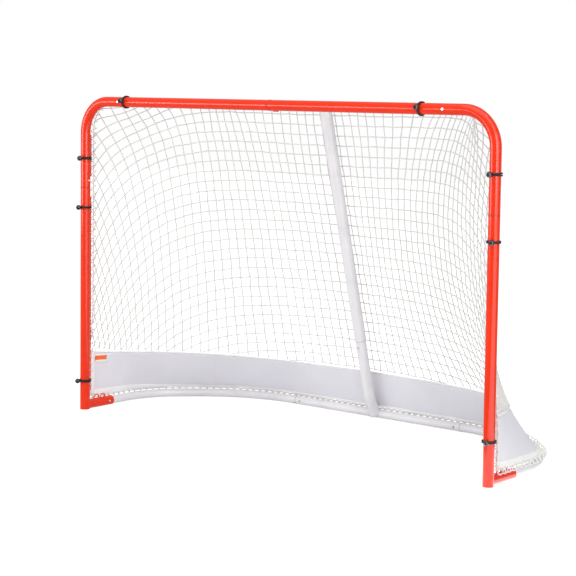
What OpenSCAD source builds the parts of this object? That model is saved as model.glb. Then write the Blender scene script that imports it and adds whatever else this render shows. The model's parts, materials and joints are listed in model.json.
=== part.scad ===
// Free-standing steel hockey goal. A front frame of two bent halves and two lower posts stands on
// a lobed floor tube; a top shelf tube and a leaning centre brace carry a laced net and a skirt.
// X runs across the mouth, Y from the mouth to the back and Z up from the floor. The origin is on
// the floor, in the middle of the whole goal's footprint.

/* [Front frame] */
// Clear width between the posts
mouth_w = 1829; // [1700:1:1900]
// Height of the crossbar's top above the floor
goal_h = 1219; // [1150:1:1280]
// Outside diameter of the posts and the crossbar
post_od = 38; // [36:1:40]
// Centreline radius of the two top corners
corner_r = 120; // [100:1:140]
// Height of the joint between a bent half and its lower post
post_seam_z = 870; // [700:1:920]
// Length of the socket behind each post's foot
socket_len = 142; // [130:1:180]

/* [Floor tube] */
// Depth from the posts' centres to the floor tube's back stretch
goal_depth = 651; // [640:1:670]
// Outside diameter of the floor tube
base_od = 32; // [30:1:33]
// Centreline radius of the tighter bend beside each post
base_side_r = 319; // [300:1:340]
// Length of the straight stretch between the two bends of each side
base_mid_len = 60; // [40:5:80]
// Centreline radius of the wider bend beside the centre piece
base_wide_r = 554; // [530:1:570]

/* [Top shelf] */
// Outside diameter of the shelf tube
shelf_od = 25; // [22:1:26]
// Depth from the crossbar's centre to the shelf tube's back stretch
shelf_depth = 306; // [296:1:310]
// Distance of each shelf arm from the middle
shelf_x = 740; // [700:1:760]
// Centreline radius of the shelf tube's corners
shelf_corner_r = 260; // [200:10:280]

/* [Centre brace] */
// Outside diameter of the brace's upper section
brace_od = 44; // [42:1:45]
// Outside diameter of the brace's lower section
brace_foot_od = 40; // [38:1:41]
// Height of the joint in the brace
brace_seam_z = 313; // [300:1:330]
// Depth of the brace's centreline at that joint
brace_seam_y = 544; // [540:1:548]
// Depth at which the brace's centreline meets the floor tube
brace_foot_y = 643; // [640:1:646]
// Lean of the brace's last stretch from the vertical, in degrees
brace_foot_lean = 28; // [26:1:30]

/* [Tube joints] */
// Wall thickness of every tube
wall = 1.6; // [1.2:0.1:2]
// Length of the reduced neck that slides into the next tube
neck_len = 55; // [45:1:60]
// Radial clearance round a neck
neck_clear = 0.15; // [0.1:0.05:0.3]
// Open line between two joined tubes
seam_gap = 1.2; // [0.6:0.1:2]
// Distance from a joint to its snap button
button_inset = 25; // [22:1:28]

/* [Snap buttons] */
// Diameter of a button
button_d = 8; // [7:0.5:9]
// How far a button stands out of its tube
button_proud = 4; // [3.5:0.5:4]
// Length of the oblong button under the crossbar
long_button_len = 24; // [18:1:26]
// Width of the spring strip behind each button
strip_w = 8; // [6:1:8]
// Thickness of the spring strip
strip_t = 0.8; // [0.6:0.1:1]

/* [Net and skirt] */
// Thickness of the net's plain panels
net_t = 4; // [3:1:5]
// Height of the skirt's top edge in the middle of the back
skirt_mid_z = 186; // [150:1:190]
// Height of the skirt's top edge at the posts
skirt_post_z = 225; // [180:1:230]
// How many times harder the net pulls along its rows than down them
cross_pull = 2; // [1:0.5:3]
// Thickness of the skirt
skirt_t = 2; // [1.5:0.5:2]

/* [Cords and ties] */
// Diameter of the edge cord along the floor tube
edge_cord_d = 5; // [4:1:6]
// Diameter of the lacing rods welded behind the frame
rod_d = 5; // [4:1:5]
// Diameter of the elastic loops
elastic_d = 5; // [4:1:5]
// Diameter of the balls on the elastic loops
ball_d = 20; // [18:1:22]

/* [Hidden] */
$fn = 64;

frame_red = [0.93, 0.22, 0.12];
tube_grey = [0.84, 0.84, 0.86];
cord_white = [0.96, 0.96, 0.95];
vinyl_grey = [0.78, 0.78, 0.81];
steel = [0.72, 0.73, 0.75];

// Front frame
post_x = (mouth_w + post_od) / 2;
crossbar_z = goal_h - post_od / 2;
corner_x = post_x - corner_r;
corner_z = crossbar_z - corner_r;
socket_od = base_od + 2 * wall + 0.8;
base_z = socket_od / 2;

// Floor tube: from each post a straight leg, a tighter bend, a short straight stretch and a wider
// bend. Each bend turns 45 degrees.
half_turn = 45;
base_bend_x = post_x - base_side_r * (1 - cos(half_turn)) - base_mid_len * sin(half_turn)
    - base_wide_r * cos(half_turn);
base_tail = 12;
base_seam_x = base_bend_x - base_tail;
base_start_y = socket_len - 80;
base_leg_y = goal_depth - base_side_r * sin(half_turn) - base_mid_len * cos(half_turn)
    - base_wide_r * (1 - sin(half_turn));
side_centre = [post_x - base_side_r, base_leg_y];
side_end = side_centre + base_side_r * [cos(half_turn), sin(half_turn)];
wide_centre = [base_bend_x, goal_depth - base_wide_r];

// Top shelf, level with the crossbar
shelf_z = crossbar_z;
shelf_back_x = shelf_x - shelf_corner_r;
shelf_leg_y = shelf_depth - shelf_corner_r;
sleeve_od = shelf_od + 2 * wall + 0.6;
sleeve_len = 120;
plug_len = 22;
screw_d = 6;
screw_head_d = 11;
shoulder_len = 4;

// Centre brace: upper section, its lean, and the two straight lengths either side of the mitre
brace_lean = atan((brace_seam_y - shelf_depth) / (shelf_z - brace_seam_z));
rest_y = brace_foot_y - brace_seam_y;
rest_z = brace_seam_z - base_z;
lean_det = sin(brace_lean) * cos(brace_foot_lean) - cos(brace_lean) * sin(brace_foot_lean);
brace_straight = (rest_y * cos(brace_foot_lean) - rest_z * sin(brace_foot_lean)) / lean_det;
foot_straight = (rest_z * sin(brace_lean) - rest_y * cos(brace_lean)) / lean_det;
brace_len = (shelf_z - brace_seam_z) / cos(brace_lean);
mitre_spare = 10;

// Snap buttons
post_bore_r = post_od / 2 - 2 * wall - neck_clear;
base_neck_bore_r = base_od / 2 - 2 * wall - neck_clear;
base_bore_r = base_od / 2 - wall;
brace_bore_r = brace_foot_od / 2 - 2 * wall - neck_clear;
hole_clear = 0.3;
flange_r = 6;
flange_t = 1;
arm_len = 24;
arm_back = 5;

// Lacing rods and ties
rod_y = post_od / 2 + rod_d / 2 + 6;
rod_gap = 40;
rod_foot_z = 70;
corner_gap = 10;
bar_rod_gap = 60;
wire_d = 4;
wire_loop_r = 13;
wire_loop_y = [62, 96];
elastic_r = post_od / 2 + elastic_d / 2 + 0.3;
ball_r = elastic_r + 10;
post_tie_z_left = [113, 791, 981];
post_tie_z_right = [146, 785, 999];
crossbar_tie_x = [-712, 645];
left_ball_angle = 220;
right_ball_angle = -78;
crossbar_ball_angle = 10;

// Net surface
net_front_y = rod_y + rod_d / 2 + 4;
net_bottom_z = 40;
net_bottom_out = 11;
net_top_out = brace_od / 2 + 4;
net_rise = crossbar_z - net_bottom_z;
side_cols = 16;
back_cols = 6;
net_cols = side_cols + back_cols;
net_rows = 16;
settle_turns = 350;
panel_gap = 0.08;
top_steps = 12;
top_panel_out = net_top_out - 4;
top_panel_front = 10;
top_panel_lift = 15;
skirt_low = 0.002;
skirt_lift = -3 - skirt_t;
tag_cols = [0.4, 1, 1.36];
tag_share = [0.109, 0.1355];
tag_t = 1;
tag_gap = 2;
edge_cord_out = 18;
edge_cord_z = 32;

// The footprint's middle in depth is the origin
front_most = -ball_r - ball_d / 2;
back_most = goal_depth + edge_cord_out + edge_cord_d / 2;
front_y = -(front_most + back_most) / 2;

// ---------------------------------------------------------------- helpers

module placed() translate([0, front_y, 0]) children();

module on_side(side) {
    if (side > 0) children();
    else mirror([1, 0, 0]) children();
}

module ring(od) difference() {
    circle(d = od);
    circle(d = od - 2 * wall);
}

module tube(od, len) linear_extrude(height = len) ring(od);

module tube_x(od, x0, x1) translate([x0, 0, 0]) rotate([0, 90, 0]) tube(od, x1 - x0);

module tube_y(od, y0, y1) translate([0, y0, 0]) rotate([-90, 0, 0]) tube(od, y1 - y0);

module bend(od, r, angle) rotate_extrude(angle = angle) translate([r, 0]) ring(od);

// Reduced neck on the end of a tube, pointing along +Z, with the shoulder that holds it
module neck(od) {
    outer = od - 2 * wall - 2 * neck_clear;
    difference() {
        union() {
            translate([0, 0, -shoulder_len]) cylinder(d = od - wall, h = shoulder_len);
            cylinder(d = outer, h = neck_len);
        }
        translate([0, 0, -shoulder_len - 1])
            cylinder(d = outer - 2 * wall, h = neck_len + shoulder_len + 2);
    }
}

module brace_frame() translate([0, brace_seam_y, brace_seam_z]) rotate([brace_lean, 0, 0]) children();

module post_solid(side) translate([side * post_x, 0, -1]) cylinder(d = post_od, h = post_seam_z);

module crossbar_solid() translate([-post_x, 0, crossbar_z]) rotate([0, 90, 0])
    cylinder(d = post_od, h = 2 * post_x);

// ---------------------------------------------------------------- places of the snap buttons
// In each place Z points out of the tube through the button and X along the tube to its spring.

module at_post_button(side) on_side(side) translate([post_x, 0, post_seam_z + button_inset])
    rotate([0, -90, 0]) rotate([0, 0, 180]) children();

module at_crossbar_button() translate([button_inset, 0, crossbar_z]) rotate([0, 180, 0]) children();

module at_base_button(side) on_side(side)
    translate([base_seam_x - button_inset, goal_depth, base_z]) rotate([90, 0, 0]) children();

module at_socket_button(side) on_side(side) translate([post_x, socket_len - button_inset, base_z])
    rotate([0, -90, 0]) rotate([0, 0, 90]) children();

module at_brace_button() brace_frame() translate([0, 0, -button_inset])
    rotate([0, 0, 90]) rotate([0, -90, 0]) children();

module button_hole(od) cylinder(d = button_d + 2 * hole_clear, h = od);

module oblong(len, width, height) {
    for (end = [-1, 1]) translate([end * (len - width) / 2, 0, 0]) cylinder(d = width, h = height);
    translate([-(len - width) / 2, -width / 2, 0]) cube([len - width, width, height]);
}

// ---------------------------------------------------------------- front frame

module crossbar_half() {
    translate([0, 0, crossbar_z]) tube_x(post_od, seam_gap / 2, corner_x);
    translate([corner_x, 0, corner_z]) rotate([90, 0, 0]) bend(post_od, corner_r, 90);
    translate([post_x, 0, post_seam_z]) tube(post_od, corner_z - post_seam_z);
}

module shelf_screw_hole() translate([shelf_x, 0, crossbar_z]) rotate([90, 0, 0])
    cylinder(d = screw_d + 0.6, h = 2 * post_od, center = true);

module crossbar_half_left() color(frame_red) placed() difference() {
    union() {
        mirror([1, 0, 0]) crossbar_half();
        translate([-seam_gap / 2, 0, crossbar_z]) rotate([0, 90, 0]) neck(post_od);
    }
    mirror([1, 0, 0]) shelf_screw_hole();
    at_post_button(-1) button_hole(post_od);
    at_crossbar_button()
        oblong(long_button_len + 2 * hole_clear, button_d + 2 * hole_clear, post_od);
}

module crossbar_half_right() color(frame_red) placed() difference() {
    crossbar_half();
    shelf_screw_hole();
    at_post_button(1) button_hole(post_od);
    at_crossbar_button()
        oblong(long_button_len + 2 * hole_clear, button_d + 2 * hole_clear, post_od);
}

module lower_post(side) color(frame_red) placed() difference() {
    translate([side * post_x, 0, 0]) {
        tube(post_od, post_seam_z - seam_gap);
        translate([0, 0, post_seam_z - seam_gap]) neck(post_od);
    }
    at_post_button(side) button_hole(post_od);
}

module base_socket(side) color(frame_red) placed() difference() {
    translate([side * post_x, 0, base_z]) rotate([-90, 0, 0]) rotate_extrude() {
        translate([socket_od / 2 - wall, 0]) square([wall, socket_len - wall / 2]);
        translate([socket_od / 2 - wall / 2, socket_len - wall / 2]) circle(d = wall, $fn = 24);
    }
    post_solid(side);
    at_socket_button(side) button_hole(socket_od);
}

// Two low wire loops on a socket, for the net's lacing
module socket_lacing_wire(side) color(frame_red) placed() difference() {
    for (y = wire_loop_y) translate([side * post_x, y, socket_od - 1])
        rotate([0, 0, 90]) rotate([90, 0, 0]) rotate_extrude(angle = 180)
            translate([wire_loop_r, 0]) circle(d = wire_d, $fn = 24);
    translate([side * post_x, 0, base_z]) rotate([-90, 0, 0]) cylinder(d = socket_od, h = socket_len);
}

// A straight rod held off the tube by a short standoff at each end; it runs along +Z at depth rod_y
module lacing_rod(len) {
    translate([0, rod_y, 0]) cylinder(d = rod_d, h = len, $fn = 32);
    for (z = [rod_d, len - rod_d]) translate([0, 0, z]) rotate([-90, 0, 0])
        cylinder(d = rod_d - 1, h = rod_y, $fn = 32);
}

module upper_lacing_rod(side) color(frame_red) placed() difference() {
    translate([side * post_x, 0, post_seam_z + rod_gap])
        lacing_rod(corner_z - corner_gap - post_seam_z - rod_gap);
    translate([side * post_x, 0, post_seam_z]) cylinder(d = post_od, h = corner_z);
}

module lower_lacing_rod(side) color(frame_red) placed() difference() {
    translate([side * post_x, 0, rod_foot_z]) lacing_rod(post_seam_z - rod_gap - rod_foot_z);
    post_solid(side);
}

module crossbar_lacing_rod(side) color(frame_red) placed() difference() {
    on_side(side) translate([bar_rod_gap, 0, crossbar_z]) rotate([0, 90, 0])
        lacing_rod(shelf_x - 2 * bar_rod_gap);
    crossbar_solid();
}

// ---------------------------------------------------------------- floor tube

// Each stretch starts where the one before it ends, so that they join without a step
module base_side() translate([post_x, 0, 0]) {
    tube_y(base_od, base_start_y, base_leg_y);
    translate([-base_side_r, base_leg_y, 0]) {
        bend(base_od, base_side_r, half_turn);
        rotate([0, 0, half_turn]) translate([base_side_r, 0, 0]) base_far_side();
    }
}

module base_far_side() {
    tube_y(base_od, 0, base_mid_len);
    translate([-base_wide_r, base_mid_len, 0]) {
        bend(base_od, base_wide_r, half_turn);
        rotate([0, 0, half_turn]) translate([base_wide_r, 0, 0]) {
            tube_y(base_od, 0, base_tail);
            translate([0, base_tail, 0]) rotate([-90, 0, 0]) neck(base_od);
        }
    }
}

module base_tube(side) color(tube_grey) placed() difference() {
    on_side(side) translate([0, 0, base_z]) base_side();
    at_socket_button(side) button_hole(base_od);
    at_base_button(side) button_hole(base_od);
}

module base_tube_centre() color(tube_grey) placed() difference() {
    translate([0, goal_depth, base_z])
        tube_x(base_od, -base_seam_x + seam_gap, base_seam_x - seam_gap);
    for (side = [-1, 1]) at_base_button(side) button_hole(base_od);
}

// ---------------------------------------------------------------- centre brace

// The mitre plane between the brace's two straight stretches
module at_brace_mitre() brace_frame() translate([0, 0, -brace_straight])
    rotate([(brace_foot_lean - brace_lean) / 2, 0, 0]) children();

module brace_lower() color(tube_grey) placed() difference() {
    union() {
        difference() {
            brace_frame() translate([0, 0, -brace_straight - mitre_spare])
                tube(brace_foot_od, brace_straight + mitre_spare - seam_gap);
            at_brace_mitre() translate([0, 0, -100]) cube(200, center = true);
        }
        difference() {
            translate([0, brace_foot_y, base_z]) rotate([brace_foot_lean, 0, 0])
                tube(brace_foot_od, foot_straight + mitre_spare);
            at_brace_mitre() translate([0, 0, 100]) cube(200, center = true);
        }
    }
    translate([0, goal_depth, base_z]) rotate([0, 90, 0])
        cylinder(d = base_od, h = 4 * brace_od, center = true);
    translate([0, goal_depth, base_z - post_od]) cube([200, 200, 2 * post_od], center = true);
    at_brace_button() button_hole(brace_foot_od);
}

module brace_upper() color(tube_grey) placed() difference() {
    brace_frame() {
        tube(brace_od, brace_len);
        rotate([180, 0, 0]) neck(brace_foot_od);
        difference() {
            cylinder(d = brace_od - wall, h = shoulder_len);
            translate([0, 0, -1]) cylinder(d = brace_foot_od - wall, h = shoulder_len + 2);
        }
    }
    translate([0, shelf_depth, shelf_z]) rotate([0, 90, 0])
        cylinder(d = sleeve_od, h = 4 * brace_od, center = true);
    translate([0, shelf_depth, shelf_z + brace_od]) cube([200, 200, 2 * brace_od], center = true);
    at_brace_button() button_hole(brace_foot_od);
}

module brace_top_sleeve() color(tube_grey) placed() difference() {
    translate([-sleeve_len / 2, shelf_depth, shelf_z]) rotate([0, 90, 0])
        cylinder(d = sleeve_od, h = sleeve_len);
    translate([-sleeve_len, shelf_depth, shelf_z]) rotate([0, 90, 0])
        cylinder(d = sleeve_od - 2 * wall, h = 2 * sleeve_len);
}

// ---------------------------------------------------------------- top shelf

module shelf_tube(side) color(tube_grey) placed() difference() {
    on_side(side) translate([0, 0, shelf_z]) {
        translate([0, shelf_depth, 0]) tube_x(shelf_od, seam_gap, shelf_back_x);
        translate([shelf_back_x, shelf_leg_y, 0]) bend(shelf_od, shelf_corner_r, 90);
        translate([shelf_x, 0, 0]) tube_y(shelf_od, 0, shelf_leg_y);
    }
    crossbar_solid();
}

module shelf_end_plugs() color(steel) placed() difference() {
    for (side = [-1, 1]) translate([side * shelf_x, post_od / 2 - 1, shelf_z]) rotate([-90, 0, 0])
        cylinder(d = shelf_od - 2 * wall - 0.2, h = plug_len);
    crossbar_solid();
    for (side = [-1, 1]) translate([side * shelf_x, 0, shelf_z]) rotate([-90, 0, 0])
        cylinder(d = screw_d, h = 2 * post_od);
}

module shelf_screws() color(steel) placed()
    for (side = [-1, 1]) translate([side * shelf_x, -post_od / 2 - 0.1, crossbar_z])
        rotate([-90, 0, 0]) {
            cylinder(d = screw_d, h = post_od + plug_len - 4);
            translate([0, 0, -2]) cylinder(d = screw_head_d, h = 2);
            translate([0, 0, -4]) cylinder(d1 = screw_head_d - 5, d2 = screw_head_d, h = 2);
        }

// ---------------------------------------------------------------- snap buttons

// Flat under the curved bore, so that the flange's rim just clears the tube's wall
function flange_top(bore_r) = sqrt(bore_r * bore_r - flange_r * flange_r) - hole_clear;

module spring_arm(bore_r) translate([-arm_back, -strip_w / 2, flange_top(bore_r) - flange_t - strip_t])
    cube([arm_back + arm_len, strip_w, strip_t]);

module snap_button(bore_r, tube_r) {
    stem_z = flange_top(bore_r) - flange_t;
    dome_z = tube_r + button_proud - button_d / 2;
    rotate_extrude() {
        translate([0, stem_z]) square([flange_r, flange_t]);
        translate([0, stem_z]) square([button_d / 2, dome_z - stem_z]);
        intersection() {
            translate([0, dome_z]) circle(d = button_d);
            translate([0, dome_z - 1]) square(button_d);
        }
    }
    spring_arm(bore_r);
}

module long_snap_button(bore_r, tube_r) {
    stem_z = flange_top(bore_r) - flange_t;
    translate([0, 0, stem_z])
        oblong(long_button_len, button_d, tube_r + button_proud - 1 - stem_z);
    translate([0, 0, tube_r + button_proud - 1]) oblong(long_button_len - 2, button_d - 2, 1);
    spring_arm(bore_r);
}

// The fixed arm and the round turn of the U-shaped spring behind a button
module spring_turn(bore_r) {
    top_z = flange_top(bore_r) - flange_t;
    low_z = -sqrt(bore_r * bore_r - strip_w * strip_w / 4) + 0.1;
    mid_r = (top_z - low_z) / 2;
    turn_x = arm_len + 0.6;
    translate([-arm_back, -strip_w / 2, low_z]) cube([arm_back + turn_x, strip_w, strip_t]);
    translate([turn_x, 0, (top_z + low_z) / 2]) rotate([90, 0, 0]) rotate([0, 0, -90])
        rotate_extrude(angle = 180) translate([mid_r - strip_t, -strip_w / 2])
            square([strip_t, strip_w]);
}

module post_button(side) color(steel) placed() at_post_button(side)
    snap_button(post_bore_r, post_od / 2);

module crossbar_button() color(frame_red) placed() at_crossbar_button()
    long_snap_button(post_bore_r, post_od / 2);

module base_button(side) color(steel) placed() at_base_button(side)
    snap_button(base_neck_bore_r, base_od / 2);

module socket_button(side) color(steel) placed() at_socket_button(side)
    snap_button(base_bore_r, socket_od / 2);

module brace_button() color(steel) placed() at_brace_button()
    snap_button(brace_bore_r, brace_foot_od / 2);

module button_springs() color(steel) placed() {
    for (side = [-1, 1]) {
        at_post_button(side) spring_turn(post_bore_r);
        at_base_button(side) spring_turn(base_neck_bore_r);
        at_socket_button(side) spring_turn(base_bore_r);
    }
    at_crossbar_button() spring_turn(post_bore_r);
    at_brace_button() spring_turn(brace_bore_r);
}

// ---------------------------------------------------------------- elastic ties

module at_ties() {
    for (z = post_tie_z_left) translate([-post_x, 0, z]) rotate([0, 0, left_ball_angle]) children();
    for (z = post_tie_z_right) translate([post_x, 0, z]) rotate([0, 0, right_ball_angle]) children();
    for (x = crossbar_tie_x) translate([x, 0, crossbar_z])
        rotate([0, 90, 0]) rotate([0, 0, 270 - crossbar_ball_angle]) children();
}

module elastic_loops() color([0.1, 0.1, 0.1]) placed() at_ties()
    rotate_extrude() translate([elastic_r, 0]) circle(d = elastic_d, $fn = 24);

module elastic_balls() color([0.08, 0.08, 0.08]) placed() at_ties()
    translate([ball_r, 0, 0]) sphere(d = ball_d);

// ---------------------------------------------------------------- net surface

function mix(a, b, t) = a * (1 - t) + b * t;

function unit(a) = a / norm(a);

// The floor tube's plan from a post to the seam: a point and its outward direction at fraction u
base_leg_end = base_leg_y - net_front_y;
side_bend_end = base_leg_end + base_side_r * half_turn * PI / 180;
mid_end = side_bend_end + base_mid_len;
base_plan_len = mid_end + base_wide_r * half_turn * PI / 180;

function base_angle(d) =
    d < base_leg_end ? 0
    : d < side_bend_end ? (d - base_leg_end) / base_side_r * 180 / PI
    : d < mid_end ? half_turn
    : half_turn + (d - mid_end) / base_wide_r * 180 / PI;

function base_plan(d) =
    let (a = base_angle(d))
    d < base_leg_end ? [post_x, net_front_y + d]
    : d < side_bend_end ? side_centre + base_side_r * [cos(a), sin(a)]
    : d < mid_end ? side_end + (d - side_bend_end) * [-sin(a), cos(a)]
    : wide_centre + base_wide_r * [cos(a), sin(a)];

// The shelf tube's plan from the crossbar to the end of its corner
shelf_leg_len = shelf_leg_y - net_front_y;
shelf_arc_len = shelf_corner_r * 90 * PI / 180;
shelf_plan_len = shelf_leg_len + shelf_arc_len;

function shelf_angle(d) = d < shelf_leg_len ? 0 : (d - shelf_leg_len) / shelf_corner_r * 180 / PI;

function shelf_plan(d) =
    let (a = shelf_angle(d))
    d < shelf_leg_len ? [shelf_x, net_front_y + d]
    : [shelf_back_x, shelf_leg_y] + shelf_corner_r * [cos(a), sin(a)];

function plan_out(a) = [cos(a), sin(a)];

function net_bottom(u) =
    let (d = u * base_plan_len, p = base_plan(d) + net_bottom_out * plan_out(base_angle(d)))
    [p[0], p[1], net_bottom_z];

function net_top_edge(u) =
    let (d = u * shelf_plan_len, p = shelf_plan(d) + net_top_out * plan_out(shelf_angle(d)))
    [p[0], p[1], crossbar_z];

// The net's front edge climbs the post, turns the corner and follows the crossbar to the shelf arm
edge_rise_len = corner_z - net_bottom_z;
edge_turn_len = corner_r * 90 * PI / 180;
edge_bar_len = corner_x - shelf_x - net_top_out;
edge_len = edge_rise_len + edge_turn_len + edge_bar_len;

function edge_angle(d) =
    d < edge_rise_len ? 0 : min(90, (d - edge_rise_len) / corner_r * 180 / PI);

function net_front_edge(v) =
    let (d = v * edge_len, a = edge_angle(d))
    d < edge_rise_len ? [post_x + net_bottom_out, net_front_y, net_bottom_z + d]
    : d < edge_rise_len + edge_turn_len ?
        [corner_x + (corner_r + net_bottom_out) * cos(a), net_front_y, corner_z + corner_r * sin(a)]
    : [corner_x - (d - edge_rise_len - edge_turn_len), net_front_y, crossbar_z];

function side_point(u, v) =
    mix(net_bottom(u), net_top_edge(u), v)
    + pow(1 - u, 2) * (net_front_edge(v) - mix(net_bottom(0), net_top_edge(0), v));

function back_point(t, v) =
    mix([base_bend_x * t, goal_depth + net_bottom_out, net_bottom_z],
        [shelf_back_x * t, shelf_depth + net_top_out, crossbar_z], v);

// The net is a taut sheet. Its grid covers the right half, in columns from the post round to the
// brace and in rows upwards. Its four edges are held, and every other point settles where its
// neighbours' pulls balance.
function slack_point(i, j) =
    i <= side_cols ? side_point(i / side_cols, j / net_rows)
    : back_point(1 - (i - side_cols) / back_cols, j / net_rows);

slack_grid = [for (i = [0 : net_cols]) [for (j = [0 : net_rows]) slack_point(i, j)]];

function held(i, j) = i == 0 || i == net_cols || j == 0 || j == net_rows;

function settled(grid, turns) =
    turns == 0 ? grid
    : settled([
        for (i = [0 : net_cols]) [
            for (j = [0 : net_rows])
                held(i, j) ? grid[i][j]
                : (cross_pull * (grid[i - 1][j] + grid[i + 1][j]) + grid[i][j - 1] + grid[i][j + 1])
                    / (2 * cross_pull + 2)
        ]
    ], turns - 1);

// A point of the net at a column, which may pass the middle into the left half, and share v up
function net_at(grid, c, v) =
    c > net_cols ? let (p = net_at(grid, 2 * net_cols - c, v)) [-p[0], p[1], p[2]]
    : let (
        a = max(0, c),
        i = min(floor(a), net_cols - 1),
        r = max(0, min(1, v)) * net_rows,
        j = min(floor(r), net_rows - 1)
    )
    mix(mix(grid[i][j], grid[i + 1][j], a - i), mix(grid[i][j + 1], grid[i + 1][j + 1], a - i), r - j);

function net_out(grid, c, v) =
    unit(cross(
        net_at(grid, c + 0.5, v) - net_at(grid, c - 0.5, v),
        net_at(grid, c, v + 0.5 / net_rows) - net_at(grid, c, v - 0.5 / net_rows)
    ));

// Closed shell between two grids of points, each a list of rows of the same length
module shell(inner, outer) {
    rows = len(inner);
    cols = len(inner[0]);
    half = rows * cols;
    points = concat([for (row = inner) each row], [for (row = outer) each row]);
    function at(r, c) = r * cols + c;
    sheets = [
        for (r = [0 : rows - 2], c = [0 : cols - 2])
            let (a = at(r, c), b = at(r, c + 1), d = at(r + 1, c + 1), e = at(r + 1, c))
            each [[a, b, d], [a, d, e], [a + half, d + half, b + half], [a + half, e + half, d + half]]
    ];
    rim = concat(
        [for (c = [0 : cols - 1]) at(0, c)],
        [for (r = [1 : rows - 1]) at(r, cols - 1)],
        [for (c = [cols - 2 : -1 : 0]) at(rows - 1, c)],
        [for (r = [rows - 2 : -1 : 1]) at(r, 0)]
    );
    edges = [
        for (i = [0 : len(rim) - 1])
            let (a = rim[i], b = rim[(i + 1) % len(rim)])
            each [[b, a, a + half], [b, a + half, b + half]]
    ];
    polyhedron(points = points, faces = concat(sheets, edges), convexity = 8);
}

// A panel over a list of columns, between two lists of shares up the net, one for each column,
// from lift to lift + thick outside the net's surface
module panel(cols, lows, highs, steps, lift, thick) {
    grid = settled(slack_grid, settle_turns);
    function layer(off) = [
        for (i = [0 : steps]) [
            for (j = [0 : len(cols) - 1])
                let (c = cols[j], v = mix(lows[j], highs[j], i / steps))
                net_at(grid, c, v) + off * net_out(grid, c, v)
        ]
    ];
    shell(layer(lift), layer(lift + thick));
}

function spread(value, cols) = [for (c = cols) value];

side_list = concat([for (c = [0 : side_cols - 1]) c], [side_cols - panel_gap]);
back_list = [for (c = [side_cols : 2 * net_cols - side_cols]) c];

module net_back() color(cord_white) placed()
    panel(back_list, spread(0, back_list), spread(1, back_list), net_rows, 0, net_t);

module net_side(side) color(cord_white) placed() on_side(side)
    panel(side_list, spread(0, side_list), spread(1, side_list), net_rows, 0, net_t);

// Half of the top panel's outline, from its front corner round to the middle of the back
top_outline = concat(
    [[shelf_x + top_panel_out, net_front_y - top_panel_front]],
    [for (j = [1 : top_steps])
        let (d = shelf_plan_len * j / top_steps)
        shelf_plan(d) + top_panel_out * plan_out(shelf_angle(d))]
);

module net_top() color(cord_white) placed() translate([0, 0, crossbar_z + top_panel_lift])
    linear_extrude(height = net_t) polygon(concat(
        top_outline,
        [for (j = [top_steps : -1 : 0]) [-top_outline[j][0], top_outline[j][1]]]
    ));

// The skirt's top edge climbs from the middle of the back to the posts
function skirt_high(c) =
    let (away = abs(net_cols - c) / net_cols)
    mix((skirt_mid_z - net_bottom_z) / net_rise, (skirt_post_z - net_bottom_z) / edge_len, away * away);

module skirt_panel(cols) color(vinyl_grey)
    panel(cols, spread(skirt_low, cols), [for (c = cols) skirt_high(c)], 3, skirt_lift, skirt_t);

module skirt_back() placed() skirt_panel(back_list);

module skirt_side(side) placed() on_side(side) skirt_panel(side_list);

// Plain sewn tag on the skirt's inner face beside the left post
module skirt_tag() color([0.95, 0.75, 0.6]) placed() on_side(-1)
    panel(tag_cols, spread(tag_share[0], tag_cols), spread(tag_share[1], tag_cols), 1,
        skirt_lift - tag_gap - tag_t, tag_t);

// ---------------------------------------------------------------- edge cord

// A round cord swept along a list of points that lie in one level plane
module level_cord(path, d) {
    sides = 8;
    last = len(path) - 1;
    function heading(i) = unit(path[min(i + 1, last)] - path[max(i - 1, 0)]);
    points = [
        for (i = [0 : last], k = [0 : sides - 1])
            let (h = heading(i), a = 360 * k / sides)
            path[i] + d / 2 * (cos(a) * [h[1], -h[0], 0] + sin(a) * [0, 0, 1])
    ];
    walls = [
        for (i = [0 : last - 1], k = [0 : sides - 1])
            let (a = i * sides + k, b = i * sides + (k + 1) % sides)
            each [[a, b, b + sides], [a, b + sides, a + sides]]
    ];
    ends = [
        [for (k = [sides - 1 : -1 : 0]) k],
        [for (k = [0 : sides - 1]) last * sides + k]
    ];
    polyhedron(points = points, faces = concat(walls, ends), convexity = 8);
}

module edge_cord_side(side) color(cord_white) placed() on_side(side) level_cord([
    for (j = [0 : 24])
        let (d = base_plan_len * j / 24 * 0.995)
        let (p = base_plan(d) + edge_cord_out * plan_out(base_angle(d)))
        [p[0], p[1], edge_cord_z]
], edge_cord_d);

module edge_cord_back() color(cord_white) placed()
    translate([-base_bend_x, goal_depth + edge_cord_out, edge_cord_z]) rotate([0, 90, 0])
        cylinder(d = edge_cord_d, h = 2 * base_bend_x, $fn = 24);

// ---------------------------------------------------------------- nodes

crossbar_half_left();
crossbar_half_right();
lower_post(-1);  // lower_post_left
lower_post(1);  // lower_post_right
base_socket(-1);  // base_socket_left
base_socket(1);  // base_socket_right
socket_lacing_wire(-1);  // socket_lacing_wire_left
socket_lacing_wire(1);  // socket_lacing_wire_right
crossbar_lacing_rod(-1);  // crossbar_lacing_rod_left
crossbar_lacing_rod(1);  // crossbar_lacing_rod_right
upper_lacing_rod(-1);  // upper_lacing_rod_left
upper_lacing_rod(1);  // upper_lacing_rod_right
lower_lacing_rod(-1);  // lower_lacing_rod_left
lower_lacing_rod(1);  // lower_lacing_rod_right
base_tube(-1);  // base_tube_left
base_tube(1);  // base_tube_right
base_tube_centre();
brace_lower();
brace_upper();
brace_top_sleeve();
shelf_tube(-1);  // shelf_tube_left
shelf_tube(1);  // shelf_tube_right
shelf_end_plugs();
shelf_screws();
post_button(-1);  // post_button_left
post_button(1);  // post_button_right
crossbar_button();
base_button(-1);  // base_button_left
base_button(1);  // base_button_right
socket_button(-1);  // socket_button_left
socket_button(1);  // socket_button_right
brace_button();
button_springs();
elastic_loops();
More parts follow.
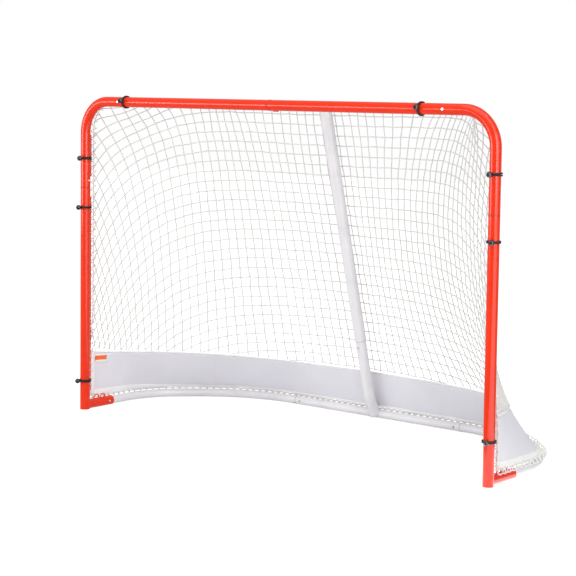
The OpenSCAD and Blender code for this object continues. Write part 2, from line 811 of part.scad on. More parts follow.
elastic_balls();
net_back();
net_side(-1);  // net_left
net_side(1);  // net_right
net_top();
skirt_back();
skirt_side(-1);  // skirt_left
skirt_side(1);  // skirt_right
skirt_tag();
edge_cord_side(-1);  // edge_cord_left
edge_cord_side(1);  // edge_cord_right
edge_cord_back();
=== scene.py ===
"""A street or ice hockey goal: tubular steel frame, laced cord net, vinyl skirt and elastic ties."""

import json
import math

import bmesh
import bpy
import numpy as np
from mathutils import Matrix, Vector


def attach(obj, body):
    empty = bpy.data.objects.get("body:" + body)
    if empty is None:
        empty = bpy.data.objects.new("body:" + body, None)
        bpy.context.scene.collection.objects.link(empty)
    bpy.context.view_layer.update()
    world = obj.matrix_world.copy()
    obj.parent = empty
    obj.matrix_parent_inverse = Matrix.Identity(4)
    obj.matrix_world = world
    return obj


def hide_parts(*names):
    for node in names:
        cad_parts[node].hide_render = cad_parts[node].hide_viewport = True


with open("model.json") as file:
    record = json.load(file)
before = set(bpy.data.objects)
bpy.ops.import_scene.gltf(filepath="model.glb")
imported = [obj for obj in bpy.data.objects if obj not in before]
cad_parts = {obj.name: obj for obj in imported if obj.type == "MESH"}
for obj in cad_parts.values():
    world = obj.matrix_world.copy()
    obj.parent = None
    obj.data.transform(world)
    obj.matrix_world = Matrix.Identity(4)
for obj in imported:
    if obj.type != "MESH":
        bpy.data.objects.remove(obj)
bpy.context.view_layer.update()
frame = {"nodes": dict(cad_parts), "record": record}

# ------------------------------------------------------------------ sizes, in metres, as in the CAD

FRONT_Y = -0.31485  # depth of the mouth's plane from the origin
POST_X = 0.9335
POST_R = 0.019
BAR_Z = 1.2
CORNER_R = 0.12
CORNER_X = POST_X - CORNER_R
CORNER_Z = BAR_Z - CORNER_R
BASE_R = 0.016
BASE_Z = 0.018
GOAL_DEPTH = 0.651
SIDE_R = 0.319
MID_LEN = 0.06
WIDE_R = 0.554
SHELF_X = 0.74
SHELF_DEPTH = 0.306
SHELF_CORNER_R = 0.26
NET_FRONT_Y = 0.034
NET_BOTTOM_Z = 0.04
NET_BOTTOM_OUT = 0.011
NET_TOP_OUT = 0.026
SKIRT_MID_Z = 0.186
SKIRT_POST_Z = 0.225
SEAM_S = 0.75
TAG_COLS = (0.4, 1.36)
TAG_SHARE = (0.109, 0.1355)
TAG_GRID = 16
TAG_Z = 0.179
TAG_SIDE = 0.034
ELASTIC_LOOP_R = 0.0218
BALL_REACH = 0.0318
BALL_R = 0.01

BEND_TURN = math.pi / 4  # the turn of each of the floor tube's four bends
BEND_X = POST_X - SIDE_R * (1 - math.cos(BEND_TURN)) - (MID_LEN + WIDE_R) * math.cos(BEND_TURN)
LEG_Y = GOAL_DEPTH - (SIDE_R + MID_LEN) * math.sin(BEND_TURN) - WIDE_R * (1 - math.sin(BEND_TURN))
SHELF_BACK_X = SHELF_X - SHELF_CORNER_R
SHELF_LEG_Y = SHELF_DEPTH - SHELF_CORNER_R
NET_RISE = BAR_Z - NET_BOTTOM_Z

MESH = 0.0387  # spacing of the net's strings
TWINE_R = 0.0020
KNOT_R = 0.0026
KNOT_SHIFT = 0.0030  # the spread of the knots about their even places
BORDER_R = 0.0021
SHELF_BORDER_R = 0.0019
LACE_R = 0.0019
LACE_WIND_R = 0.0092
LACE_PITCH = 0.028
FLOOR_LACE_R = 0.0024
FLOOR_LACE_WIND_R = 0.0104


def row_y(y):
    """Depth in the row frame of a depth measured from the mouth's plane."""
    return y + FRONT_Y


# ------------------------------------------------------------------ camera

CAMERA_AT = (3.78342, row_y(-4.43852), 1.26202)
CAMERA_YAW = 0.694289
CAMERA_PITCH = 0.085256
CAMERA_ROLL = 0.013223
SENSOR = 36
FOCAL = 2.8906  # focal length over the image's width
SHIFT_Y = -0.1007


def add_camera():
    """The camera at the photograph's angle and distance."""
    data = bpy.data.cameras.new("camera")
    data.sensor_width = SENSOR
    data.lens = SENSOR * FOCAL
    data.shift_y = SHIFT_Y
    data.clip_end = 100
    camera = bpy.data.objects.new("camera", data)
    bpy.context.scene.collection.objects.link(camera)
    turn = Matrix.Rotation(CAMERA_YAW, 4, "Z")
    tilt = Matrix.Rotation(math.pi / 2 - CAMERA_PITCH, 4, "X")
    roll = Matrix.Rotation(CAMERA_ROLL, 4, "Z")
    camera.matrix_world = Matrix.Translation(CAMERA_AT) @ turn @ tilt @ roll
    bpy.context.scene.camera = camera


# ------------------------------------------------------------------ mesh helpers


def mesh_piece(name, verts, faces, uvs=None):
    """A mesh object from points and faces; uvs holds one pair for each face corner."""
    mesh = bpy.data.meshes.new(name)
    mesh.from_pydata([tuple(v) for v in verts], [], faces)
    if uvs is not None:
        layer = mesh.uv_layers.new(name="along")
        layer.data.foreach_set("uv", np.asarray(uvs, np.float32).ravel())
    mesh.polygons.foreach_set("use_smooth", [True] * len(mesh.polygons))
    mesh.update()
    piece = bpy.data.objects.new(name, mesh)
    bpy.context.scene.collection.objects.link(piece)
    return piece


class Sweeps:
    """Gathers round cords, each swept along its points, into one mesh."""

    def __init__(self, sides):
        self.sides = sides
        self.verts, self.faces, self.uvs = [], [], []

    def cord(self, points, radius, closed=False, radii=None):
        path = np.asarray(points, float)
        count = len(path)
        nxt = np.roll(path, -1, 0) if closed else np.vstack([path[1:], path[-1:]])
        prv = np.roll(path, 1, 0) if closed else np.vstack([path[:1], path[:-1]])
        heads = nxt - prv
        heads /= np.linalg.norm(heads, axis=1)[:, None]
        across = np.cross(heads[0], (0.31, 0.17, 0.94))
        start = len(self.verts)
        along = np.concatenate([[0], np.cumsum(np.linalg.norm(np.diff(path, axis=0), axis=1))])
        turns = 2 * np.pi * np.arange(self.sides) / self.sides
        for i in range(count):
            across = across - heads[i] * np.dot(across, heads[i])
            across /= np.linalg.norm(across)
            other = np.cross(heads[i], across)
            r = radius if radii is None else radii[i]
            ring = path[i] + r * (np.cos(turns)[:, None] * across + np.sin(turns)[:, None] * other)
            self.verts.extend(ring)
        steps = count if closed else count - 1
        for i in range(steps):
            j = (i + 1) % count
            low = along[i]
            high = along[j] if j else low + np.linalg.norm(path[0] - path[i])
            for k in range(self.sides):
                n = (k + 1) % self.sides
                self.faces.append(
                    (start + i * self.sides + k, start + i * self.sides + n,
                     start + j * self.sides + n, start + j * self.sides + k)
                )
                a, b = k / self.sides, (k + 1) / self.sides
                self.uvs += [(low, a), (low, b), (high, b), (high, a)]
        if not closed:
            first = [start + k for k in reversed(range(self.sides))]
            last = [start + (count - 1) * self.sides + k for k in range(self.sides)]
            for cap in (first, last):
                self.faces.append(tuple(cap))
                self.uvs += [(0, 0)] * self.sides

    def piece(self, name):
        return mesh_piece(name, self.verts, self.faces, self.uvs)


def spline(points, steps):
    """Catmull-Rom points through the given ones, with a number of steps between each two."""
    p = np.asarray(points, float)
    if len(p) < 3:
        return p
    ends = np.vstack([2 * p[0] - p[1], p, 2 * p[-1] - p[-2]])
    out = []
    for i in range(1, len(ends) - 2):
        a, b, c, d = ends[i - 1 : i + 3]
        for s in range(steps):
            t = s / steps
            out.append(
                0.5 * (2 * b + (c - a) * t + (2 * a - 5 * b + 4 * c - d) * t**2
                       + (3 * b - a - 3 * c + d) * t**3)
            )
    out.append(p[-1])
    return np.array(out)


def lathe(profile, segments):
    """Vertices and faces of a profile of (radius, height) turned about +Z, closed at its ends."""
    verts, faces = [], []
    for r, z in profile:
        for k in range(segments):
            a = 2 * math.pi * k / segments
            verts.append((r * math.cos(a), r * math.sin(a), z))
    for i in range(len(profile) - 1):
        for k in range(segments):
            n = (k + 1) % segments
            low, high = i * segments, (i + 1) * segments
            faces.append((low + k, low + n, high + n, high + k))
    faces.append(tuple(reversed(range(segments))))
    faces.append(tuple((len(profile) - 1) * segments + k for k in range(segments)))
    return verts, faces


def fix(piece, slot, *replaced, look=None):
    """The piece rides on the frame, takes a slot's finish and stands for the replaced nodes."""
    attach(piece, "frame")
    if replaced:
        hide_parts(*replaced)
    piece.data.materials.clear()
    piece.data.materials.append(MATERIALS[look or slot])
    return piece


# ------------------------------------------------------------------ the net's surface

SIDE_CENTRE = (POST_X - SIDE_R, LEG_Y)
SIDE_END = (
    SIDE_CENTRE[0] + SIDE_R * math.cos(BEND_TURN),
    SIDE_CENTRE[1] + SIDE_R * math.sin(BEND_TURN),
)
LEG_END = LEG_Y - NET_FRONT_Y
SIDE_BEND_END = LEG_END + SIDE_R * BEND_TURN
MID_END = SIDE_BEND_END + MID_LEN
BASE_LEN = MID_END + WIDE_R * BEND_TURN
SHELF_LEG_LEN = SHELF_LEG_Y - NET_FRONT_Y
SHELF_LEN = SHELF_LEG_LEN + SHELF_CORNER_R * math.pi / 2
EDGE_RISE = CORNER_Z - NET_BOTTOM_Z
EDGE_TURN = CORNER_R * math.pi / 2
EDGE_LEN = EDGE_RISE + EDGE_TURN + CORNER_X - SHELF_X - NET_TOP_OUT
EDGE_DRAW_IN = 0.018  # above the skirt the edge's lacing draws it in behind the post
EDGE_DRAW_START = 0.15
EDGE_DRAW_LEN = 0.2

SIDE_COLS = 48
BACK_COLS = 18
COLS = SIDE_COLS + BACK_COLS
ROWS = 48
CROSS_PULL = 2  # how many times harder the net pulls along its rows than down them
SETTLING_STEPS = 7000
REACH = COLS / SIDE_COLS  # the middle of the back to the front edge, in side panels


def base_plan(d, out):
    """A point at distance d along the floor tube from the post, moved outwards."""
    if d < LEG_END:
        turn, x, y = 0.0, POST_X, NET_FRONT_Y + d
    elif d < SIDE_BEND_END:
        turn = (d - LEG_END) / SIDE_R
        x = SIDE_CENTRE[0] + SIDE_R * math.cos(turn)
        y = SIDE_CENTRE[1] + SIDE_R * math.sin(turn)
    elif d < MID_END:
        turn = BEND_TURN
        x = SIDE_END[0] - (d - SIDE_BEND_END) * math.sin(turn)
        y = SIDE_END[1] + (d - SIDE_BEND_END) * math.cos(turn)
    elif d < BASE_LEN:
        turn = BEND_TURN + (d - MID_END) / WIDE_R
        x = BEND_X + WIDE_R * math.cos(turn)
        y = GOAL_DEPTH - WIDE_R + WIDE_R * math.sin(turn)
    else:
        turn, x, y = math.pi / 2, BEND_X - (d - BASE_LEN), GOAL_DEPTH
    return x + out * math.cos(turn), y + out * math.sin(turn)


def shelf_plan(d, out):
    """The same along the shelf tube, from the crossbar to the end of its corner."""
    turn = max(0.0, (d - SHELF_LEG_LEN) / SHELF_CORNER_R)
    if d < SHELF_LEG_LEN:
        x, y = SHELF_X, NET_FRONT_Y + d
    else:
        x = SHELF_BACK_X + SHELF_CORNER_R * math.cos(turn)
        y = SHELF_LEG_Y + SHELF_CORNER_R * math.sin(turn)
    return x + out * math.cos(turn), y + out * math.sin(turn)


def front_edge(v, out=NET_BOTTOM_OUT):
    """The net's front edge: up the post, round the corner and along the crossbar to the shelf."""
    d = v * EDGE_LEN
    out -= EDGE_DRAW_IN * min(1.0, max(0.0, (d - EDGE_DRAW_START) / EDGE_DRAW_LEN))
    if d < EDGE_RISE:
        return np.array((POST_X + out, NET_FRONT_Y, NET_BOTTOM_Z + d))
    turn = min(math.pi / 2, (d - EDGE_RISE) / CORNER_R)
    if d < EDGE_RISE + EDGE_TURN:
        x = CORNER_X + (CORNER_R + out) * math.cos(turn)
        return np.array((x, NET_FRONT_Y, CORNER_Z + CORNER_R * math.sin(turn)))
    return np.array((CORNER_X - (d - EDGE_RISE - EDGE_TURN), NET_FRONT_Y, BAR_Z))


def slack_point(i, j):
    """Where a point of the right half's grid starts, before the net is pulled taut."""
    v = j / ROWS
    if i > SIDE_COLS:
        across = 1 - (i - SIDE_COLS) / BACK_COLS
        low = np.array((BEND_X * across, GOAL_DEPTH + NET_BOTTOM_OUT, NET_BOTTOM_Z))
        high = np.array((SHELF_BACK_X * across, SHELF_DEPTH + NET_TOP_OUT, BAR_Z))
        return low * (1 - v) + high * v
    u = i / SIDE_COLS
    low = np.array((*base_plan(u * BASE_LEN, NET_BOTTOM_OUT), NET_BOTTOM_Z))
    high = np.array((*shelf_plan(u * SHELF_LEN, NET_TOP_OUT), BAR_Z))
    foot = np.array((*base_plan(0, NET_BOTTOM_OUT), NET_BOTTOM_Z))
    head = np.array((*shelf_plan(0, NET_TOP_OUT), BAR_Z))
    pull = front_edge(v) - foot * (1 - v) - head * v
    return low * (1 - v) + high * v + (1 - u) ** 2 * pull


def taut_grid():
    """The grid after its inner points settle where their neighbours' pulls balance."""
    grid = np.array([[slack_point(i, j) for j in range(ROWS + 1)] for i in range(COLS + 1)])
    for _ in range(SETTLING_STEPS):
        along = grid[:-2, 1:-1] + grid[2:, 1:-1]
        down = grid[1:-1, :-2] + grid[1:-1, 2:]
        grid[1:-1, 1:-1] = (CROSS_PULL * along + down) / (2 * CROSS_PULL + 2)
    return grid


NET = taut_grid()


def net_at(s, t):
    """Net points: s runs from -REACH at the left post to REACH at the right, t from top to bottom."""
    s, t = np.broadcast_arrays(np.asarray(s, float), np.asarray(t, float))
    a = np.clip((REACH - np.abs(s)) * SIDE_COLS, 0, COLS)
    r = np.clip(1 - t, 0, 1) * ROWS
    i, j = np.minimum(a.astype(int), COLS - 1), np.minimum(r.astype(int), ROWS - 1)
    f, g = (a - i)[..., None], (r - j)[..., None]
    near = NET[i, j] * (1 - f) + NET[i + 1, j] * f
    far = NET[i, j + 1] * (1 - f) + NET[i + 1, j + 1] * f
    point = near * (1 - g) + far * g
    point[..., 0] *= np.where(s < 0, -1, 1)
    point[..., 1] += FRONT_Y
    return point


def net_out(s, t, h=0.02):
    """Unit vectors square to the net, pointing away from the goal."""
    s, t = np.broadcast_arrays(np.asarray(s, float), np.asarray(t, float))
    along = net_at(np.minimum(s + h, REACH), t) - net_at(np.maximum(s - h, -REACH), t)
    up = net_at(s, np.maximum(t - h, 0)) - net_at(s, np.minimum(t + h, 1))
    out = np.cross(up, along)
    return out / np.linalg.norm(out, axis=-1, keepdims=True)


def skirt_top(s):
    """Share t of the skirt's top edge, which climbs from the middle to the posts."""
    away = (np.abs(s) / REACH) ** 2
    middle = (SKIRT_MID_Z - NET_BOTTOM_Z) / NET_RISE
    post = (SKIRT_POST_Z - NET_BOTTOM_Z) / EDGE_LEN
    return 1 - middle * (1 - away) - post * away


# ------------------------------------------------------------------ where the net's strings run
#
# Upright strings are counted outwards from the middle of the back and cross strings down from the
# shelf. Behind the goal they are square; on the sides they slant and crowd towards the posts, and
# the uprights lean further out the lower they are.

PHASE = 0.465  # the middle of the back lies between two upright strings
CROSSINGS = 31.17  # cross strings from the shelf to the floor


def upright_number(q, t):
    """Which upright string passes the share (q, t) of one half of the net, as a running number."""
    near_top = np.exp(-6 * t)
    plain = (21.06 + 12.9 * t) * q + (13.69 - 38.31 * t) * q**2 + (26.71 * t - 11.87) * q**3
    return plain + near_top * (19.69 * q - 45.09 * q**2 + 22.17 * q**3)


def cross_t(number, q):
    """The share t where a cross string passes the share q: the inverse of cross_number."""
    return (number - 0.75 * q**2 + 1.83 * q**4) / (CROSSINGS - 1.79 * q**2 - 1.94 * q**4)


def cross_number(q, t):
    """Which cross string passes the share (q, t), as a running number."""
    return CROSSINGS * t + (0.75 - 1.79 * t) * q**2 - (1.83 + 1.94 * t) * q**4


UPRIGHTS = 37  # on each half of the net
CROSSES = range(-5, 28)  # those below 0 start at the front edge, above the back's first one


def jitter(k, m):
    """A small fixed offset of the knot where an upright and a cross string meet."""
    a = math.sin(12.9898 * k + 78.233 * m) * 43758.5453
    b = math.sin(39.3468 * k + 11.135 * m) * 24634.6345
    c = math.sin(73.1560 * k + 52.235 * m) * 35412.2213
    return KNOT_SHIFT * np.array([v - math.floor(v) - 0.5 for v in (a, b, c)])


def upright_path(number):
    """Shares (q, t) down one upright string, from the net's top or front edge to the skirt."""
    spots = []
    for t in np.linspace(0, 1, 241):
        if upright_number(REACH, t) < number:
            continue
        low, high = 0.0, REACH
        for _ in range(24):
            mid = (low + high) / 2
            low, high = (mid, high) if upright_number(mid, t) < number else (low, mid)
        if t > skirt_top(low):
            break
        spots.append((low, t))
    return np.array(spots)


def upright_string(side, number):
    """Points down one upright string and the knots on it, by cross string."""
    spots = upright_path(number)
    levels = cross_number(spots[:, 0], spots[:, 1])
    points, knots = [net_at(side * spots[0, 0], spots[0, 1])], {}
    for m in range(math.ceil(levels[0]), math.floor(levels[-1]) + 1):
        q, t = (np.interp(m, levels, spots[:, axis]) for axis in (0, 1))
        knots[m] = net_at(side * q, t) + jitter(side * number, m)
        points.append(knots[m])
    points.append(net_at(side * spots[-1, 0], spots[-1, 1]))
    return points, knots


def cross_ends(number):
    """Shares (q, t) of the spots where a cross string starts and ends on one half of the net."""
    spots = [(q, cross_t(number, q)) for q in np.linspace(0, REACH, 401)]
    inside = [(q, t) for q, t in spots if 0 < t <= skirt_top(q)]
    return inside[0], inside[-1]


def tidy_path(points, gap=0.006):
    """The points without any that lie nearly on the one before."""
    kept = [points[0]]
    for point in points[1:]:
        if np.linalg.norm(np.asarray(point) - kept[-1]) > gap:
            kept.append(point)
    return kept


def add_net():
    """The net string by string: the uprights, the cross strings, the knots and the top panel."""
    uprights, crosses, knots = Sweeps(6), Sweeps(6), {}
    for side in (-1, 1):
        for n in range(UPRIGHTS):
            number = n + (PHASE if side < 0 else 1 - PHASE)
            points, found = upright_string(side, number)
            path = tidy_path(points)
            if len(path) > 1:
                uprights.cord(spline(path, 3), TWINE_R)
            for m, knot in found.items():
                knots[side * number, m] = knot
    for m in CROSSES:
        row = sorted((k, knot) for (k, level), knot in knots.items() if level == m)
        inner, outer = cross_ends(m)
        halves = [[knot for k, knot in row if k < 0], [knot for k, knot in row if k > 0]]
        halves[0].insert(0, net_at(-outer[0], outer[1]))
        halves[1].append(net_at(*outer))
        if inner[0] > 0:
            halves[0].append(net_at(-inner[0], inner[1]))
            halves[1].insert(0, net_at(*inner))
        for half in halves if inner[0] > 0 else [halves[0] + halves[1]]:
            if len(tidy_path(half)) > 1:
                crosses.cord(spline(tidy_path(half), 3), TWINE_R)
    fix(uprights.piece("net_upright_strings"), "net_cord", "net_left", "net_right", "net_back")
    fix(crosses.piece("net_cross_strings"), "net_cord")
    fix(knot_piece(list(knots.values())), "net_cord")
    fix(top_strings().piece("net_top_strings"), "net_cord", "net_top")


def knot_piece(places):
    """A small rounded knot at each crossing."""
    seed = bmesh.new()
    bmesh.ops.create_icosphere(seed, subdivisions=1, radius=KNOT_R)
    shape = np.array([v.co[:] for v in seed.verts])
    cells = [tuple(v.index for v in f.verts) for f in seed.faces]
    seed.free()
    verts, faces = [], []
    for i, place in enumerate(places):
        base = len(verts)
        stretch = 1 + 0.18 * math.sin(5.3 * i)
        verts.extend(shape * (stretch, 0.85, 1.1) + place)
        faces.extend(tuple(base + n for n in cell) for cell in cells)
    return mesh_piece("net_knots", verts, faces)


TOP_LIFT = 0.0145  # of the top panel's strings over the shelf tube's centre line
TOP_REST = 0.0143  # of the strings where they rest on the shelf tube
TOP_SLACK = 0.010
TOP_SLACK_END = 0.33


def top_point(x, y):
    """The net's top panel: over the shelf tube, and a little slack in front of it."""
    share = min(1, max(0, (y - NET_FRONT_Y) / (TOP_SLACK_END - NET_FRONT_Y)))
    slack = TOP_SLACK * math.sin(math.pi * share)
    slack *= min(1.0, 8 * max(0.0, SHELF_X - abs(x)))
    return np.array((x, row_y(y), BAR_Z + TOP_LIFT - slack))


def over_shelf(edge, place):
    """Points where a string leaves the top panel: over the shelf tube and down to the border."""
    return [(*place(edge + 0.004), BAR_Z + TOP_REST), (*place(edge + 0.019), BAR_Z + 0.009),
            (*place(edge + NET_TOP_OUT), BAR_Z)]


def top_strings():
    """Strings of the top panel: from the crossbar over the shelf tube, and across it."""
    strings = Sweeps(6)
    reach = int((SHELF_X + 0.01) / MESH)
    for k in range(-reach, reach + 1):
        x = k * MESH
        over = max(0.0, abs(x) - SHELF_BACK_X)
        back = SHELF_LEG_Y + math.sqrt(max(0.0, SHELF_CORNER_R**2 - over**2))
        ys = np.arange(NET_FRONT_Y, back, MESH / 2)
        points = [(x, row_y(NET_FRONT_Y), BAR_Z + 0.004)]
        points += [top_point(x, y) for y in ys[1:]]
        points += over_shelf(back, lambda far: (x, row_y(far)))
        strings.cord(spline(tidy_path(points), 2), TWINE_R)
    for row in range(1, 8):
        y = NET_FRONT_Y + MESH * (row + 0.2)
        deep = max(0.0, y - SHELF_LEG_Y)
        wide = SHELF_BACK_X + math.sqrt(max(0.0, SHELF_CORNER_R**2 - deep**2))
        xs = np.arange(0, wide, MESH / 2)
        half = [top_point(x, y) for x in xs] + over_shelf(wide, lambda far: (far, row_y(y)))
        mirror = [(-p[0], p[1], p[2]) for p in reversed(half[1:])]
        strings.cord(spline(tidy_path(mirror + half), 2), TWINE_R)
    return strings


# ------------------------------------------------------------------ border cords and lacing


def helix(path, radius, pitch, per_turn=10):
    """Points wound round a path, which is given as closely spaced points."""
    path = np.asarray(path, float)
    steps = np.linalg.norm(np.diff(path, axis=0), axis=1)
    along = np.concatenate([[0], np.cumsum(steps)])
    count = max(2, int(along[-1] / pitch * per_turn))
    out = []
    across = None

    def at(d):
        return np.array([np.interp(d, along, path[:, axis]) for axis in range(3)])

    for i in range(count + 1):
        d = along[-1] * i / count
        here = at(d)
        heading = at(min(d + 0.004, along[-1])) - at(max(d - 0.004, 0))
        head = heading / np.linalg.norm(heading)
        if across is None:
            across = np.cross(head, (0.31, 0.17, 0.94))
        across = across - head * np.dot(across, head)
        across /= np.linalg.norm(across)
        turn = 2 * math.pi * i / per_turn
        wobble = 1 + 0.06 * math.sin(1.7 * i)
        spoke = math.cos(turn) * across + math.sin(turn) * np.cross(head, across)
        out.append(here + radius * wobble * spoke)
    return out


def mirrored(points, side):
    """The points as they are for side 1, and on the other side of the goal for side -1."""
    return [(side * p[0], p[1], p[2]) for p in points]


def edge_path(out, y, v0=0.0, v1=1.0, count=90):
    """The front edge's path at a depth from the mouth's plane."""
    points = []
    for i in range(count + 1):
        x, _, z = front_edge(v0 + (v1 - v0) * i / count, out)
        points.append((x, row_y(y), z))
    return points


def base_path(out, z, d0=0.0, count=150):
    """The right half of a cord's path along the floor tube, ending at the middle of the back."""
    points = []
    for i in range(count + 1):
        x, y = base_plan(d0 + (BASE_LEN + BEND_X - d0) * i / count, out)
        points.append((x, row_y(y), z))
    return points


BORDER_Y = NET_FRONT_Y + 0.001
LACING_Y = NET_FRONT_Y - 0.003
LACING_OUT = 0.006
BAR_BORDER_X = 0.766  # how far each cord runs along the crossbar from the middle
BAR_LACING_X = 0.70


def add_edges():
    """The cord in the net's front and top edges, and the lacing that winds round it."""
    border, lacing = Sweeps(8), Sweeps(6)
    for side in (-1, 1):
        edge = edge_path(NET_BOTTOM_OUT, BORDER_Y, 0.01, 1.0)
        border.cord(mirrored(edge, side), BORDER_R)
        turns = helix(edge_path(LACING_OUT, LACING_Y, 0.015, 0.998), LACE_WIND_R, LACE_PITCH)
        lacing.cord(mirrored(turns, side), LACE_R)
    bar_x = np.linspace(-BAR_BORDER_X, BAR_BORDER_X, 60)
    bar = [(x, row_y(BORDER_Y), BAR_Z + 0.004) for x in bar_x]
    border.cord(bar, BORDER_R)
    wound_x = np.linspace(-BAR_LACING_X, BAR_LACING_X, 60)
    wound = [(x, row_y(LACING_Y), BAR_Z + 0.002) for x in wound_x]
    lacing.cord(helix(wound, LACE_WIND_R, LACE_PITCH), LACE_R)
    for side in (-1, 1):
        seam = []
        for i in range(31):
            x, y = shelf_plan(SHELF_LEN * i / 30, NET_TOP_OUT)
            seam.append((side * x, row_y(y), BAR_Z))
        for x in np.linspace(SHELF_BACK_X - 0.02, 0.0, 30):
            seam.append((side * x, row_y(SHELF_DEPTH + NET_TOP_OUT), BAR_Z))
        border.cord(seam, SHELF_BORDER_R)
    fix(border.piece("net_border_cord"), "lacing_cord")
    fix(lacing.piece("net_edge_lacing"), "lacing_cord")


def both_halves(right):
    """A path from the right post round the goal to the left one, from its right half."""
    return right + mirrored(list(reversed(right[:-1])), -1)


FLOOR_CORD = {"out": 0.019, "z": 0.036, "d0": -0.004}
FLOOR_LACING = {"out": 0.015, "z": 0.043, "d0": 0.004}


def add_base_lacing():
    """The cord along the floor tube, and the lacing that ties the skirt and the net to it."""
    cord, lacing = Sweeps(8), Sweeps(6)
    cord.cord(both_halves(base_path(**FLOOR_CORD)), BORDER_R)
    wound = both_halves(base_path(**FLOOR_LACING))
    lacing.cord(helix(wound, FLOOR_LACE_WIND_R, LACE_PITCH, per_turn=14), FLOOR_LACE_R)
    fix(cord.piece("floor_edge_cord"), "lacing_cord", "edge_cord_left", "edge_cord_right", "edge_cord_back")
    fix(lacing.piece("floor_lacing"), "lacing_cord")


# ------------------------------------------------------------------ skirt

SKIRT_LIFT = -0.004
SKIRT_LOW = 0.004
SKIRT_COLUMNS = 420
VINYL_THICK = 0.0011
TOP_HEM_THICK = 0.0024
BOTTOM_HEM_THICK = 0.0026
END_TAPE = 0.022
END_TAPE_THICK = 0.0028
SEAM_HALF = 0.0022
SEAM_THICK = 0.0019
TAG_THICK = 0.0007


def skirt_wave(s, h):
    """The slight waviness of vinyl laced along its lower edge."""
    return 0.0014 * np.sin(26 * s) * (1 - h) + 0.0010 * np.sin(59 * s + 1.0) * (1 - h) ** 2


def thicken(piece, thick):
    """Makes a surface a closed sheet, with half of its thickness on each side."""
    solid = piece.modifiers.new("thickness", "SOLIDIFY")
    solid.thickness = thick
    solid.offset = 0


def strip(name, low, high, rows, thick, s0=-REACH, s1=REACH, columns=SKIRT_COLUMNS):
    """A band of the skirt's surface, between two shares of its height, as a thin closed sheet.

    The upper share may be a function of s, for a band whose height changes along the skirt."""
    s, h = np.meshgrid(np.linspace(s0, s1, columns + 1), np.linspace(0, 1, rows + 1))
    h = low + (high(s) - low) * h if callable(high) else low + (high - low) * h
    bottom = 1 - SKIRT_LOW
    t = bottom + (skirt_top(s) - bottom) * h
    offset = SKIRT_LIFT + skirt_wave(s, h)
    verts = net_at(s, t) + net_out(s, t) * offset[..., None]
    wide = columns + 1
    faces = [
        (a, a + 1, a + wide + 1, a + wide)
        for i in range(rows) for a in range(i * wide, i * wide + columns)
    ]
    piece = mesh_piece(name, verts.reshape(-1, 3), faces)
    thicken(piece, thick)
    return piece


def hem_height(s):
    """Share of the skirt's height that its lower hem takes: narrow behind, wide at the sides."""
    beside = np.clip((np.abs(s) - 0.85) / 0.35, 0, 1)
    return 0.055 + 0.085 * beside * beside * (3 - 2 * beside)


def strip_size():
    """The skirt's length and mean height, measured over its surface."""
    s = np.linspace(-REACH, REACH, 400)
    middle = net_at(s, (1 + skirt_top(s)) / 2)
    heights = np.linalg.norm(net_at(s, 1 - SKIRT_LOW) - net_at(s, skirt_top(s)), axis=1)
    return np.linalg.norm(np.diff(middle, axis=0), axis=1).sum(), heights.mean()


def add_skirt():
    """The skirt as one sheet, with its hems, its bound ends and its two sewn seams."""
    skirt = strip("skirt", 0.02, 0.98, 12, VINYL_THICK)
    fix(skirt, "skirt_vinyl", "skirt_left", "skirt_back", "skirt_right")
    hems = [
        strip("skirt_hem_top", 0.965, 1.0, 2, TOP_HEM_THICK),
        strip("skirt_hem_bottom", 0.0, hem_height, 4, BOTTOM_HEM_THICK),
        strip("skirt_end_left", 0.0, 1.0, 12, END_TAPE_THICK, -REACH, -REACH + END_TAPE, 3),
        strip("skirt_end_right", 0.0, 1.0, 12, END_TAPE_THICK, REACH - END_TAPE, REACH, 3),
    ]
    for hem in hems:
        fix(hem, "skirt_vinyl", look="hem_tape")
    for name, side in (("left", -1), ("right", 1)):
        seam = strip(f"skirt_seam_{name}", 0.02, 0.98, 12, SEAM_THICK,
                     side * SEAM_S - SEAM_HALF, side * SEAM_S + SEAM_HALF, 3)
        fix(seam, "skirt_vinyl")
        hems.append(seam)
    length, height = strip_size()


def add_tag():
    """A small woven tag sewn to the skirt's inner face beside the left post."""
    s0, s1 = (c / TAG_GRID - REACH for c in TAG_COLS)
    s, t = np.meshgrid(np.linspace(s0, s1, 9), 1 - np.linspace(*TAG_SHARE, 9))
    curl = 0.0012 * np.sin(np.linspace(0, math.pi, 9))[None, :]
    verts = net_at(s, t) + net_out(s, t) * (SKIRT_LIFT - 0.0022 - curl)[..., None]
    faces = [(a, a + 1, a + 10, a + 9) for i in range(8) for a in range(i * 9, i * 9 + 8)]
    tag = mesh_piece("sewn_tag", verts.reshape(-1, 3), faces)
    thicken(tag, TAG_THICK)
    fix(tag, "tag_cloth", "skirt_tag")


# ------------------------------------------------------------------ elastic ties

# On each post: the height of every tie and the way its ball faces, in degrees from +X
POST_TIES = {
    -1: ((0.113, 253), (0.791, 260), (0.981, 271)),
    1: ((0.146, -73), (0.785, -69), (0.999, -93)),
}
BAR_TIES = (-0.712, 0.645)
BAR_BALL_TURN = math.radians(260)
LOOP_CORD_R = 0.0027
NECK_R = 0.0026


def tie_places():
    """A matrix for each tie: its tube runs along local Z and its ball lies towards local X."""
    places = []
    for side, ties in POST_TIES.items():
        for z, facing in ties:
            shift = Matrix.Translation((side * POST_X, row_y(0), z))
            places.append(shift @ Matrix.Rotation(math.radians(facing), 4, "Z"))
    for x in BAR_TIES:
        shift = Matrix.Translation((x, row_y(0), BAR_Z))
        along_bar = Matrix.Rotation(math.pi / 2, 4, "Y")
        places.append(shift @ along_bar @ Matrix.Rotation(BAR_BALL_TURN, 4, "Z"))
    return places


